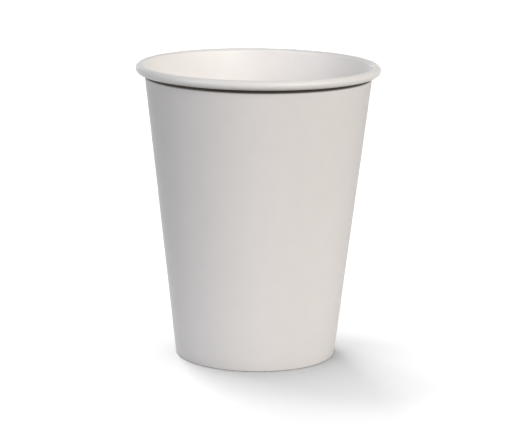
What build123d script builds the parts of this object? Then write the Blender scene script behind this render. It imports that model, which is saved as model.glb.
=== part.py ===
"""Single-wall paper coffee cup of the 12 oz size, in millimetres.

The cup is two pieces of coated paperboard:
  sidewall  a fan-shaped blank rolled into a cone and lapped at a side seam, with its top edge
            rolled outward into the rim and its bottom edge folded inward and up
  bottom    a disc with its edge turned down into a skirt, which the sidewall's fold holds

+Z is up.  The origin is the centre of the ring that the cup stands on.  Each piece is drawn as the
section of a sheet of board, in the plane of radius and height, and turned about the cup's axis.
"""
from build123d import *
from math import asin, atan2, cos, degrees, hypot, radians, sin, tan
import os

# Driving dimensions of the cup
HEIGHT = 109.0            # table to the top of the rim
RIM_DIAMETER = 90.0       # outside of the rolled rim, the size that lids are made for
FOOT_DIAMETER = 59.2      # outer face of the wall, carried down to the table
BOARD = 0.38              # thickness of the coated board

# Rolled rim
RIM_ROLL = 3.4            # outside diameter of the roll
ROLL_TURN = 265           # degrees of the roll at its full size
TUCK_RADIUS = 0.95        # middle of the board where the roll's edge tucks inside it
TUCK_TURN = 95            # degrees of that tuck

# Foot
CREASE_RADIUS = 0.25      # middle of the board at the two creases of the fold
HEM_TOP = 7.0             # edge of the board that is folded up inside the foot
FLOOR_TOP = 9.0           # upper face of the bottom
SKIRT_END = 0.5           # lower edge of the bottom's skirt
SKIRT_RADIUS = 0.6        # middle of the board where the bottom turns down

# Side seam, as directions about the axis in degrees from +X
SEAM_START = 2            # free edge of the inner layer
SEAM_LAP = 12             # width over which the two layers are sealed together
SEAM_RISE = 6             # width over which the outer layer climbs onto the inner one

# The wall's outer face runs from the foot to the roll, and meets the roll's inside as a tangent
roll_middle = (RIM_ROLL - BOARD) / 2
roll_centre_radius = (RIM_DIAMETER - RIM_ROLL) / 2
roll_centre_height = HEIGHT - RIM_ROLL / 2
roll_reach = roll_centre_radius - FOOT_DIAMETER / 2
slope = degrees(
    atan2(roll_reach, roll_centre_height)
    - asin((roll_middle - BOARD / 2) / hypot(roll_reach, roll_centre_height))
)


def on_wall(depth, height):
    """Point at a height, this far inside the wall's outer face, in the plane of the section."""
    outer_face = FOOT_DIAMETER / 2 + height * tan(radians(slope))
    return Vector(outer_face - depth / cos(radians(slope)), height)


def board_section(start, heading, runs):
    """Section of a sheet of board whose middle leaves start along heading, in degrees.

    A run is a length, for a straight stretch, or a radius and a turn in degrees, for a bend.  A
    positive turn is anticlockwise.
    """
    left, right = [], []
    point = start
    for run in runs:
        side = Vector(0, BOARD / 2).rotate(Axis.Z, heading)
        if isinstance(run, tuple):
            radius, turn = run
            hand = 1 if turn > 0 else -1
            spoke = Vector(0, -radius * hand).rotate(Axis.Z, heading)
            centre = point - spoke
            edges = []
            for face in (-hand, hand):
                rim = spoke * (1 + face * BOARD / 2 / radius)
                marks = [centre + rim.rotate(Axis.Z, turn * share) for share in (0, 0.5, 1)]
                edges.append(ThreePointArc(*marks))
            left.append(edges[0])
            right.append(edges[1])
            point = centre + spoke.rotate(Axis.Z, turn)
            heading += turn
        else:
            end = point + Vector(run, 0).rotate(Axis.Z, heading)
            left.append(Line(point + side, end + side))
            right.append(Line(point - side, end - side))
            point = end
    first_edge = Line(left[0] @ 0, right[0] @ 0)
    last_edge = Line(left[-1] @ 1, right[-1] @ 1)
    return Plane.XZ * make_face([*left, *right, first_edge, last_edge])


def sidewall_section(layer):
    """Section of the sidewall: layer 0 is the sheet, layer 1 its lap, which lies on the outer face."""
    lap = layer * BOARD
    wall_depth = BOARD / 2 - lap
    hem_depth = BOARD / 2 + 2 * BOARD + lap
    roll_radius = roll_middle - lap
    hem_edge = on_wall(hem_depth, HEM_TOP)
    hem_corner = on_wall(hem_depth, BOARD / 2)
    wall_corner = on_wall(wall_depth, BOARD / 2)
    wall_top = on_wall(wall_depth, roll_centre_height + roll_radius * sin(radians(slope)))
    hem_turn = 90 + slope
    wall_turn = 90 - slope
    crease_radius = CREASE_RADIUS + lap / 2
    hem_cut = crease_radius * tan(radians(hem_turn / 2))
    wall_cut = crease_radius * tan(radians(wall_turn / 2))
    runs = [
        (hem_edge - hem_corner).length - hem_cut,
        (crease_radius, hem_turn),
        (wall_corner - hem_corner).length - hem_cut - wall_cut,
        (crease_radius, wall_turn),
        (wall_top - wall_corner).length - wall_cut,
        (roll_radius, -ROLL_TURN),
        (TUCK_RADIUS - lap, -TUCK_TURN),
    ]
    return board_section(hem_edge, -hem_turn, runs)


def make_sidewall():
    """One blank: the sealed lap, four quarters of single layer, and the rise onto its own edge."""
    sheet = sidewall_section(0)
    lap = sidewall_section(1)
    quarter = (360 - SEAM_LAP - SEAM_RISE) / 4
    rise_start = sheet.rotate(Axis.Z, SEAM_START - SEAM_RISE)
    pieces = [
        revolve((sheet + lap).rotate(Axis.Z, SEAM_START), Axis.Z, SEAM_LAP),
        loft([rise_start, lap.rotate(Axis.Z, SEAM_START)], ruled=True),
    ]
    for number in range(4):
        quarter_start = SEAM_START + SEAM_LAP + number * quarter
        pieces.append(revolve(sheet.rotate(Axis.Z, quarter_start), Axis.Z, quarter))
    with BuildPart() as sidewall:
        add(pieces, clean=False)
    return sidewall.part


def make_bottom():
    """One disc, turned down at its edge into a skirt that follows the wall's slope."""
    floor_height = FLOOR_TOP - BOARD / 2
    skirt_depth = BOARD / 2 + BOARD
    turn = 90 + slope
    cut = SKIRT_RADIUS * tan(radians(turn / 2))
    corner = on_wall(skirt_depth, floor_height)
    skirt = corner - on_wall(skirt_depth, SKIRT_END)
    runs = [corner.X - cut, (SKIRT_RADIUS, -turn), skirt.length - cut]
    return revolve(board_section(Vector(0, floor_height), 0, runs))


os.makedirs("parts", exist_ok=True)
export_step(make_sidewall(), "parts/sidewall.step")
export_step(make_bottom(), "parts/bottom.step")
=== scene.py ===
import bpy
import math
from mathutils import Matrix, Vector, noise


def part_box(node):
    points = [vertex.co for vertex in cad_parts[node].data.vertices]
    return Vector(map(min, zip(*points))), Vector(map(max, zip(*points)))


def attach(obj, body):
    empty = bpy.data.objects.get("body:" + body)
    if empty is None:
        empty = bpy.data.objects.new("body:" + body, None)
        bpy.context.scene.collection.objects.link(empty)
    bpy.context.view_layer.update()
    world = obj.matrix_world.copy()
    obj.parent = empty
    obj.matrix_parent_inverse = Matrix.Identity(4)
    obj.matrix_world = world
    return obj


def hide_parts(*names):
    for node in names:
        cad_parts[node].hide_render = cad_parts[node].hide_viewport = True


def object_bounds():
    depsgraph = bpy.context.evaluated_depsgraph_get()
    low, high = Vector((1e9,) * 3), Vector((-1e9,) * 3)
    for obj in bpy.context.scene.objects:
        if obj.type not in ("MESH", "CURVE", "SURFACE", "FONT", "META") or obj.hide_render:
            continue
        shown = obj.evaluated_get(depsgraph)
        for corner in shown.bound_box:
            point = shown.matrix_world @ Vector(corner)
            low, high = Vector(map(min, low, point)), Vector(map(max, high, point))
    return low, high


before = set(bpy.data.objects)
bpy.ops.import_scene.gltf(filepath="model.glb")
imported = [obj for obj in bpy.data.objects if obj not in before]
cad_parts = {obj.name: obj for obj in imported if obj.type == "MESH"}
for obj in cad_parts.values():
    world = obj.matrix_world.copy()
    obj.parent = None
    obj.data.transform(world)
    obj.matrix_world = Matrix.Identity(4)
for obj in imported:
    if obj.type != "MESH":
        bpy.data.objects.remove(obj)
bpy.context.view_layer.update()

# Camera ------------------------------------------------------------------------------------
# A long lens a little above the rim, looking along +Y at the middle of the cup. It is rolled by
# less than a degree, so the cup leans slightly in its view.
CAMERA_DISTANCE = 0.8373
CAMERA_ELEVATION = math.radians(11.80)
CAMERA_ROLL = math.radians(0.75)
AIM = Vector((0.0004, 0.0, 0.0526))

lens = bpy.data.cameras.new("camera")
lens.sensor_width = 36
lens.lens = 157.2
camera = bpy.data.objects.new("camera", lens)
toward_camera = Vector((0, -math.cos(CAMERA_ELEVATION), math.sin(CAMERA_ELEVATION)))
camera.location = AIM + toward_camera * CAMERA_DISTANCE
look = (-toward_camera).to_track_quat("-Z", "Y").to_matrix()
camera.rotation_euler = (look @ Matrix.Rotation(CAMERA_ROLL, 3, "Z")).to_euler()
bpy.context.scene.collection.objects.link(camera)
bpy.context.scene.camera = camera
bpy.context.scene.view_settings.view_transform = "Standard"

# Sidewall ----------------------------------------------------------------------------------
# One fan of bleached cup board, rolled into a cone and heat sealed along a lapped side seam.
# Its top edge is rolled outward, coated face out. Its bottom edge is folded inward and up
# round the bottom's skirt, and knurled there.
MM = 0.001
BOARD = 0.38 * MM
low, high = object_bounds()
rim_radius = max(high[0] - low[0], high[1] - low[1]) / 2
cup_height = high[2]
FOOT_RADIUS = 29.6 * MM
RIM_ROLL = 3.4 * MM
ROLL_TURN = 265
TUCK_RADIUS = 0.95 * MM
TUCK_TURN = 95
CREASE_RADIUS = 0.25 * MM
HEM_TOP = 7.0 * MM
SEAM_START = 2
SEAM_LAP = 12
SEAM_RISE = 6
SEAL_GAP = 0.01 * MM
COLUMNS_ROUND = 480
HEM_STEPS = 5

roll_middle = (RIM_ROLL - BOARD) / 2
roll_centre = Vector((rim_radius - RIM_ROLL / 2, cup_height - RIM_ROLL / 2))
roll_reach = roll_centre.x - FOOT_RADIUS
slope = math.atan2(roll_reach, roll_centre.y) - math.asin(
    (roll_middle - BOARD / 2) / math.hypot(roll_reach, roll_centre.y)
)


def on_wall(depth, height):
    """Radius and height of a point this far inside the wall's outer face."""
    return Vector((FOOT_RADIUS + height * math.tan(slope) - depth / math.cos(slope), height))


def board_path(start, heading, runs):
    """Middle line of a bent board: a list of (point, normal, distance), with the normal to the right.

    A run is (length, steps) for a straight stretch, or (radius, turn in degrees, steps) for a bend,
    anticlockwise when positive.
    """
    marks = []
    point = start.copy()
    gone = 0.0
    for run in runs:
        steps = run[-1]
        ahead = Vector((math.cos(heading), math.sin(heading)))
        right = Vector((ahead.y, -ahead.x))
        if len(run) == 2:
            for step in range(steps):
                along = run[0] * step / steps
                marks.append((point + ahead * along, right.copy(), gone + along))
            point = point + ahead * run[0]
            gone += run[0]
        else:
            radius, turn = run[0], math.radians(run[1])
            hand = 1 if turn > 0 else -1
            centre = point - right * radius * hand
            for step in range(steps):
                turned = Matrix.Rotation(turn * step / steps, 2)
                spoke = turned @ (right * hand)
                along = abs(turn) * radius * step / steps
                marks.append((centre + spoke * radius, spoke * hand, gone + along))
            point = centre + Matrix.Rotation(turn, 2) @ (right * hand) * radius
            gone += abs(turn) * radius
            heading += turn
    ahead = Vector((math.cos(heading), math.sin(heading)))
    marks.append((point, Vector((ahead.y, -ahead.x)), gone))
    return marks


def sidewall_path(layer):
    """Path of the sidewall's board: layer 0 is the sheet, layer 1 its lap on the outer face."""
    lap = layer * (BOARD + SEAL_GAP)
    wall_depth = BOARD / 2 - lap
    hem_depth = BOARD / 2 + 2 * BOARD + lap
    roll_radius = roll_middle - lap
    crease = CREASE_RADIUS + lap / 2
    hem_edge = on_wall(hem_depth, HEM_TOP)
    hem_corner = on_wall(hem_depth, BOARD / 2)
    wall_corner = on_wall(wall_depth, BOARD / 2)
    wall_top = on_wall(wall_depth, roll_centre.y + roll_radius * math.sin(slope))
    hem_turn = math.pi / 2 + slope
    wall_turn = math.pi / 2 - slope
    hem_cut = crease * math.tan(hem_turn / 2)
    wall_cut = crease * math.tan(wall_turn / 2)
    return board_path(
        hem_edge,
        -hem_turn,
        [
            ((hem_edge - hem_corner).length - hem_cut, HEM_STEPS),
            (crease, math.degrees(hem_turn), 5),
            ((wall_corner - hem_corner).length - hem_cut - wall_cut, 1),
            (crease, math.degrees(wall_turn), 5),
            ((wall_top - wall_corner).length - wall_cut, 26),
            (roll_radius, -ROLL_TURN, 28),
            (TUCK_RADIUS - lap, -TUCK_TURN, 8),
        ],
    )


OVAL = 0.10 * MM
OVAL_TURN = 0.35          # radians from +X to the oval's long axis
WAVE = 0.05 * MM
WAVE_HEIGHT = 30 * MM
WAVE_FINENESS = 1.6
WAVE_TOP = 0.9            # share of the height above which the wave keeps its strength


def wander(angle, height):
    """Outward shift of the wall: a paper cup is never quite round, least of all at its mouth."""
    share = height / cup_height
    oval = OVAL * share * share * math.cos(2 * (angle - OVAL_TURN))
    place = Vector((math.cos(angle), math.sin(angle), height / WAVE_HEIGHT))
    wave = WAVE * math.sin(math.pi * min(share, WAVE_TOP)) * noise.noise(place * WAVE_FINENESS)
    return oval + wave


def turn_about_axis(angle, point):
    """A point of the section, given as radius and height, turned about the cup's axis."""
    radius = point.x + wander(angle, point.y)
    return Vector((radius * math.cos(angle), radius * math.sin(angle), point.y))


def mesh_object(name, points, faces, face_slots, sharp_rings):
    """Smooth-shaded mesh, with sharp edges where both ends lie in one of the sharp rings."""
    mesh = bpy.data.meshes.new(name)
    mesh.from_pydata(points, [], faces)
    mesh.polygons.foreach_set("material_index", face_slots)
    mesh.shade_smooth()
    sharp = [False] * len(mesh.edges)
    for ring in sharp_rings:
        members = set(ring)
        for edge in mesh.edges:
            if edge.vertices[0] in members and edge.vertices[1] in members:
                sharp[edge.index] = True
    mesh.attributes.new("sharp_edge", "BOOLEAN", "EDGE").data.foreach_set("value", sharp)
    mesh.validate()
    piece = bpy.data.objects.new(name, mesh)
    bpy.context.scene.collection.objects.link(piece)
    return piece


KNURLS = 120
KNURL_DEPTH = 0.09 * MM
KNURL_LOW = 1.0 * MM
KNURL_HIGH = 6.0 * MM


def knurl(angle, height):
    """Depth of the teeth that the forming roller presses into the folded hem."""
    if not KNURL_LOW < height < KNURL_HIGH:
        return 0.0
    tooth = 0.5 - 0.5 * math.cos(KNURLS * angle)
    return KNURL_DEPTH * tooth


column_step = 360 / COLUMNS_ROUND
columns = []
for number in range(COLUMNS_ROUND + round(SEAM_LAP / column_step) + 1):
    turned = number * column_step
    climbed = min(max((turned - 360 + SEAM_RISE) / SEAM_RISE, 0), 1)
    layer = climbed * climbed * (3 - 2 * climbed)
    columns.append((math.radians(SEAM_START + turned), sidewall_path(layer)))
rows = len(columns[0][1])

points = []
for side in (1, -1):
    for angle, path in columns:
        for row, (point, normal, gone) in enumerate(path):
            reach = BOARD / 2
            if side == 1 and 0 < row <= HEM_STEPS:
                reach -= knurl(angle, point.y)
            points.append(turn_about_axis(angle, point + normal * side * reach))

back = len(columns) * rows
faces = []
face_slots = []
OUTER, COATED, CUT = 0, 1, 2
for column in range(len(columns) - 1):
    for row in range(rows - 1):
        corner = column * rows + row
        quad = (corner, corner + rows, corner + rows + 1, corner + 1)
        faces.append(quad)
        face_slots.append(OUTER)
        faces.append(tuple(back + number for number in reversed(quad)))
        face_slots.append(COATED)
    for row, flip in ((0, False), (rows - 1, True)):
        corner = column * rows + row
        quad = (corner, back + corner, back + corner + rows, corner + rows)
        faces.append(tuple(reversed(quad)) if flip else quad)
        face_slots.append(CUT)
for column, flip in ((0, True), (len(columns) - 1, False)):
    for row in range(rows - 1):
        corner = column * rows + row
        quad = (corner, back + corner, back + corner + 1, corner + 1)
        faces.append(tuple(reversed(quad)) if flip else quad)
        face_slots.append(CUT)
last = (len(columns) - 1) * rows
rings = []
for start in (0, back):
    rings.append([start + column * rows for column in range(len(columns))])
    rings.append([start + column * rows + rows - 1 for column in range(len(columns))])
    rings.append([start + row for row in range(rows)])
    rings.append([start + last + row for row in range(rows)])
sidewall = mesh_object("sidewall_sheet", points, faces, face_slots, rings)


def linear(hex_colour):
    """Linear colour with alpha of an sRGB hex value."""
    channels = [int(hex_colour[start : start + 2], 16) / 255 for start in (1, 3, 5)]
    return [c / 12.92 if c <= 0.04045 else ((c + 0.055) / 1.055) ** 2.4 for c in channels] + [1.0]


def add_node(tree, kind, settings=None, inputs=None, links=None):
    """Node with its settings, input values, and links from other nodes' output sockets."""
    node = tree.nodes.new(kind)
    for name, value in (settings or {}).items():
        setattr(node, name, value)
    for name, value in (inputs or {}).items():
        node.inputs[name].default_value = value
    for name, socket in (links or {}).items():
        tree.links.new(socket, node.inputs[name])
    return node


def empty_material(name):
    """Material with no nodes yet, and its node tree."""
    material = bpy.data.materials.new(name)
    material.use_nodes = True
    material.node_tree.nodes.clear()
    return material, material.node_tree


CLOUD_SIZE = 6.0 * MM
FIBRE_SIZE = 0.7 * MM


def board_patterns(tree):
    """Cloudy formation of the sheet, and its fibres, drawn coarser than 0.03 mm so that they show."""
    place = add_node(tree, "ShaderNodeTexCoord").outputs["Object"]
    clouds = add_node(
        tree,
        "ShaderNodeTexNoise",
        None,
        {"Scale": 1 / CLOUD_SIZE, "Detail": 3.0, "Roughness": 0.5},
        {"Vector": place},
    )
    fibres = add_node(
        tree,
        "ShaderNodeTexNoise",
        None,
        {"Scale": 1 / FIBRE_SIZE, "Detail": 4.0, "Roughness": 0.65},
        {"Vector": place},
    )
    return place, clouds.outputs["Fac"], fibres.outputs["Fac"]


def cup_board(name, light, dark, smoothest, roughest, relief, film=0.0):
    """Cup board: faint clouds of colour, a fine fibre relief that scatters gloss, and any film."""
    material, tree = empty_material(name)
    place, clouds, fibres = board_patterns(tree)
    mixed = add_node(
        tree, "ShaderNodeMath", {"operation": "MULTIPLY_ADD"}, {1: 0.35}, {0: fibres, 2: clouds}
    ).outputs["Value"]
    colour = add_node(tree, "ShaderNodeValToRGB", None, None, {"Fac": mixed})
    colour.color_ramp.elements[0].position = 0.35
    colour.color_ramp.elements[0].color = linear(dark)
    colour.color_ramp.elements[1].position = 0.95
    colour.color_ramp.elements[1].color = linear(light)
    matt = add_node(
        tree,
        "ShaderNodeMapRange",
        None,
        {"From Min": 0.3, "From Max": 0.7, "To Min": smoothest, "To Max": roughest},
        {"Value": fibres},
    ).outputs["Result"]
    bump = add_node(
        tree, "ShaderNodeBump", None, {"Strength": relief, "Distance": 0.03 * MM}, {"Height": fibres}
    ).outputs["Normal"]
    board = add_node(
        tree,
        "ShaderNodeBsdfPrincipled",
        None,
        {"IOR": 1.5, "Coat Weight": film, "Coat Roughness": 0.3},
        {"Base Color": colour.outputs["Color"], "Roughness": matt, "Normal": bump},
    )
    add_node(tree, "ShaderNodeOutputMaterial", None, None, {"Surface": board.outputs["BSDF"]})
    return material, tree, place, colour, board


# A band of painted shade on the wall under the roll. It fades in from its low edge to its top.
ROLL_SHADE_DROP = 1.05 * MM
ROLL_SHADE_FADE = 0.8 * MM
ROLL_SHADE_TOP = cup_height - RIM_ROLL - ROLL_SHADE_DROP
ROLL_SHADE_LOW = ROLL_SHADE_TOP - ROLL_SHADE_FADE


def paint_shade_under_roll(tree, place, colour, board):
    """Painted shade: warm dark colour up into the fold under the roll, where light hardly reaches."""
    height = add_node(tree, "ShaderNodeSeparateXYZ", None, None, {"Vector": place}).outputs["Z"]
    # Mask of the painted shade: 0 below its low edge, 1 at its top.
    depth = add_node(
        tree,
        "ShaderNodeMapRange",
        {"interpolation_type": "SMOOTHSTEP"},
        {"From Min": ROLL_SHADE_LOW, "From Max": ROLL_SHADE_TOP},
        {"Value": height},
    ).outputs["Result"]
    # The board's colour mixed towards #2C1F12, the painted shade.
    painted_roll_shade = add_node(
        tree,
        "ShaderNodeMix",
        {"data_type": "RGBA"},
        {"B": linear("#2C1F12")},
        {"Factor": depth, "A": colour.outputs["Color"]},
    )
    tree.links.new(painted_roll_shade.outputs["Result"], board.inputs["Base Color"])


# Uncoated, calendered face: matt, with the sheet's own tooth.
outer_board, tree, place, colour, board = cup_board(
    "bleached_board_matt_with_painted_shade", "#F0ECEA", "#EDE9E7", 0.66, 0.80, 0.5
)
# This face carries painted shade: a warm dark band on the wall just under the roll.
paint_shade_under_roll(tree, place, colour, board)
# Polyethylene film over the same board: smoother, with a soft sheen.
coated_board = cup_board(
    "bleached_board_film_coated", "#F1EEEC", "#EEEBE9", 0.42, 0.54, 0.25, film=0.2
)[0]
# Raw cut edge: open fibre, a little warmer than the faces.
cut_board = cup_board("bleached_board_cut_edge", "#EFEAE3", "#E7E0D6", 0.80, 0.92, 0.8)[0]
for material in (outer_board, coated_board, cut_board):
    sidewall.data.materials.append(material)
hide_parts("sidewall")
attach(sidewall, "root")

# Bottom ------------------------------------------------------------------------------------
# One disc of the same board, coated on its upper face, with its edge turned down into a skirt.
# The skirt is pressed between the wall and its folded hem, and puckers where it is drawn in.
FLOOR_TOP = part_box("bottom")[1].z
SKIRT_END = 0.5 * MM
SKIRT_RADIUS = 0.6 * MM
SEAT_GAP = 0.02 * MM
DISH = 0.25 * MM
PUCKER = 0.05 * MM
PUCKER_WIDTH = 3 * MM
PUCKER_FINENESS = 9
BOTTOM_COLUMNS = 240
FLOOR_STEPS = 12


def bottom_path():
    """Path of the bottom's board, from the axis outward and down the skirt."""
    floor_height = FLOOR_TOP - BOARD / 2
    depth = BOARD / 2 + BOARD + SEAT_GAP
    turn = math.pi / 2 + slope
    cut = SKIRT_RADIUS * math.tan(turn / 2)
    corner = on_wall(depth, floor_height)
    skirt = (corner - on_wall(depth, SKIRT_END)).length - cut
    runs = [(corner.x - cut, FLOOR_STEPS), (SKIRT_RADIUS, -math.degrees(turn), 7), (skirt, 8)]
    return board_path(Vector((0, floor_height)), 0, runs)


def pucker(angle, distance, reach):
    """Small folds that fan over the disc's edge, where its skirt has less room than its paper."""
    near_edge = max(0.0, 1 - abs(distance - reach) / PUCKER_WIDTH)
    place = Vector((math.cos(angle), math.sin(angle), 0)) * PUCKER_FINENESS
    return PUCKER * near_edge * noise.noise(place)


bottom_marks = bottom_path()[1:]
edge_distance = bottom_marks[FLOOR_STEPS - 1][2]
points = []
for side in (1, -1):
    for number in range(BOTTOM_COLUMNS):
        angle = math.tau * number / BOTTOM_COLUMNS
        for point, normal, gone in bottom_marks:
            dished = DISH * math.cos(math.pi / 2 * min(gone / edge_distance, 1)) ** 2
            lift = pucker(angle, gone, edge_distance)
            moved = point + normal * (side * BOARD / 2 + lift) - Vector((0, dished))
            points.append(turn_about_axis(angle, moved))
rows = len(bottom_marks)
back = BOTTOM_COLUMNS * rows
faces = []
face_slots = []
for column in range(BOTTOM_COLUMNS):
    here = column * rows
    there = (column + 1) % BOTTOM_COLUMNS * rows
    for row in range(rows - 1):
        quad = (here + row, there + row, there + row + 1, here + row + 1)
        faces.append(quad)
        face_slots.append(OUTER)
        faces.append(tuple(back + number for number in reversed(quad)))
        face_slots.append(COATED)
    rim = (here + rows - 1, there + rows - 1, back + there + rows - 1, back + here + rows - 1)
    faces.append(rim)
    face_slots.append(CUT)
for side, slot in ((0, OUTER), (1, COATED)):
    middle = len(points)
    centre_height = FLOOR_TOP - DISH - BOARD * (1 - side)
    points.append(Vector((0, 0, centre_height)))
    for column in range(BOTTOM_COLUMNS):
        here = side * back + column * rows
        there = side * back + (column + 1) % BOTTOM_COLUMNS * rows
        faces.append((middle, here, there) if side else (middle, there, here))
        face_slots.append(slot)
rings = [[start + column * rows + rows - 1 for column in range(BOTTOM_COLUMNS)] for start in (0, back)]
bottom = mesh_object("bottom_disc", points, faces, face_slots, rings)
for material in (outer_board, coated_board, cut_board):
    bottom.data.materials.append(material)
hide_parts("bottom")
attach(bottom, "root")

# Table and light ---------------------------------------------------------------------------
# A table under soft studio lamps. It is grey, and suns of its own show it white, so that light
# from the cup barely fills the cup's shadow. Only the pool round the cup throws light back up.
TABLE_SIZE = 6.0
POOL_MIDDLE = 0.08
POOL_EDGE = 0.20
TABLE_COLOUR = "#707070"
half = TABLE_SIZE / 2
table_mesh = bpy.data.meshes.new("table")
table_mesh.from_pydata(
    [(-half, -half, 0), (half, -half, 0), (half, half, 0), (-half, half, 0)], [], [(0, 1, 2, 3)]
)
table = bpy.data.objects.new("table", table_mesh)
bpy.context.scene.collection.objects.link(table)


def seen_by_lens(tree):
    """1 on rays from the lens, straight, mirrored or through glass, and 0 on rays that carry light."""
    paths = add_node(tree, "ShaderNodeLightPath").outputs
    mirrored = add_node(
        tree,
        "ShaderNodeMath",
        {"operation": "ADD"},
        None,
        {0: paths["Is Camera Ray"], 1: paths["Is Glossy Ray"]},
    ).outputs["Value"]
    return add_node(
        tree,
        "ShaderNodeMath",
        {"operation": "ADD", "use_clamp": True},
        None,
        {0: mirrored, 1: paths["Is Transmission Ray"]},
    ).outputs["Value"]


table_finish, tree = empty_material("plain_table")
seen = seen_by_lens(tree)
place = add_node(tree, "ShaderNodeTexCoord").outputs["Object"]
from_cup = add_node(
    tree, "ShaderNodeVectorMath", {"operation": "LENGTH"}, None, {0: place}
).outputs["Value"]
near_cup = add_node(
    tree,
    "ShaderNodeMapRange",
    {"interpolation_type": "SMOOTHSTEP"},
    {"From Min": POOL_EDGE, "From Max": POOL_MIDDLE},
    {"Value": from_cup},
).outputs["Result"]
pool = add_node(
    tree,
    "ShaderNodeMix",
    {"data_type": "RGBA"},
    {"A": linear("#000000"), "B": linear("#464646")},
    {"Factor": near_cup},
)
bounce = add_node(tree, "ShaderNodeBsdfDiffuse", None, None, {"Color": pool.outputs["Result"]})
seen_face = add_node(tree, "ShaderNodeBsdfDiffuse", None, {"Color": linear(TABLE_COLOUR)})
surface = add_node(
    tree,
    "ShaderNodeMixShader",
    None,
    None,
    {0: seen, 1: bounce.outputs["BSDF"], 2: seen_face.outputs["BSDF"]},
)
add_node(tree, "ShaderNodeOutputMaterial", None, None, {"Surface": surface.outputs["Shader"]})
table_mesh.materials.append(table_finish)


def lamp_direction(azimuth, elevation):
    """Direction out to a lamp: azimuth 0 is the camera's side, and grows towards +X."""
    across = math.radians(azimuth)
    up = math.radians(elevation)
    return Vector(
        (math.sin(across) * math.cos(up), -math.cos(across) * math.cos(up), math.sin(up))
    )


def place_lamp(name, light, out, distance, lit, glints=True):
    """Lamp aimed at the cup, lighting only the given pieces, with or without a glint on them."""
    holder = bpy.data.objects.new(name, light)
    holder.visible_glossy = glints
    holder.location = AIM + out * distance
    holder.rotation_euler = (-out).to_track_quat("-Z", "Y").to_euler()
    bpy.context.scene.collection.objects.link(holder)
    receivers = bpy.data.collections.new(name + "_lights")
    for piece in lit:
        receivers.objects.link(piece)
    holder.light_linking.receiver_collection = receivers


LAMP_DISTANCE = 2.4
LAMP_SIZE = 1.0
WHOLE_CUP = [sidewall, bottom]
# The lamp behind the cup lights its back and, off the near wall, its inside. The one above lights
# only the bottom. Both are kept out of the gloss, so that neither leaves a glint on the rim.
CUP_LAMPS = {             # azimuth, elevation, power, colour, glints, pieces lit
    "key_right_front": (30, 22, 28, "#FFFBF6", True, WHOLE_CUP),
    "fill_right": (60, 22, 15, "#FFFBF6", True, WHOLE_CUP),
    "fill_left": (-60, 22, 19, "#F3F7FF", True, WHOLE_CUP),
    "back_left": (-163, 8, 57, "#FFFFFF", False, WHOLE_CUP),
    "down_the_mouth": (0, 90, 30, "#FFFBF6", False, [bottom]),
}
for name, (azimuth, elevation, power, colour, glints, lit) in CUP_LAMPS.items():
    light = bpy.data.lights.new(name, "AREA")
    light.shape = "DISK"
    light.size = LAMP_SIZE
    light.energy = power
    light.color = linear(colour)[:3]
    out = lamp_direction(azimuth, elevation)
    place_lamp(name, light, out, LAMP_DISTANCE, lit, glints)

# Suns light the table evenly to the back of the view. Each gives a share of the white that the
# lens sees there, more than 1 in all. Those behind and at the left draw the cup's shadow, and
# the broad one overhead darkens it round the foot.
TABLE_SUNS = {            # azimuth, elevation, breadth in degrees, share of white
    "table_back_low": (-165, 22, 14, 0.12),
    "table_back_left": (-152, 48, 14, 0.12),
    "table_left_high": (-125, 65, 14, 0.12),
    "table_front_left": (-38, 60, 24, 0.07),
    "table_overhead": (0, 90, 90, 0.84),
}
for name, (azimuth, elevation, breadth, share) in TABLE_SUNS.items():
    light = bpy.data.lights.new(name, "SUN")
    light.angle = math.radians(breadth)
    light.energy = share * math.pi / math.sin(math.radians(elevation)) / linear(TABLE_COLOUR)[0]
    place_lamp(name, light, lamp_direction(azimuth, elevation), LAMP_DISTANCE, [table])

world = bpy.data.worlds.new("studio")
world.use_nodes = True
tree = world.node_tree
tree.nodes.clear()
seen = seen_by_lens(tree)
room = add_node(tree, "ShaderNodeBackground", None, {"Color": linear("#FFFFFF"), "Strength": 0.17})
backdrop = add_node(tree, "ShaderNodeBackground", None, {"Color": linear("#FFFFFF"), "Strength": 1.0})
sky = add_node(
    tree,
    "ShaderNodeMixShader",
    None,
    None,
    {0: seen, 1: room.outputs["Background"], 2: backdrop.outputs["Background"]},
)
add_node(tree, "ShaderNodeOutputWorld", None, None, {"Surface": sky.outputs["Shader"]})
bpy.context.scene.world = world
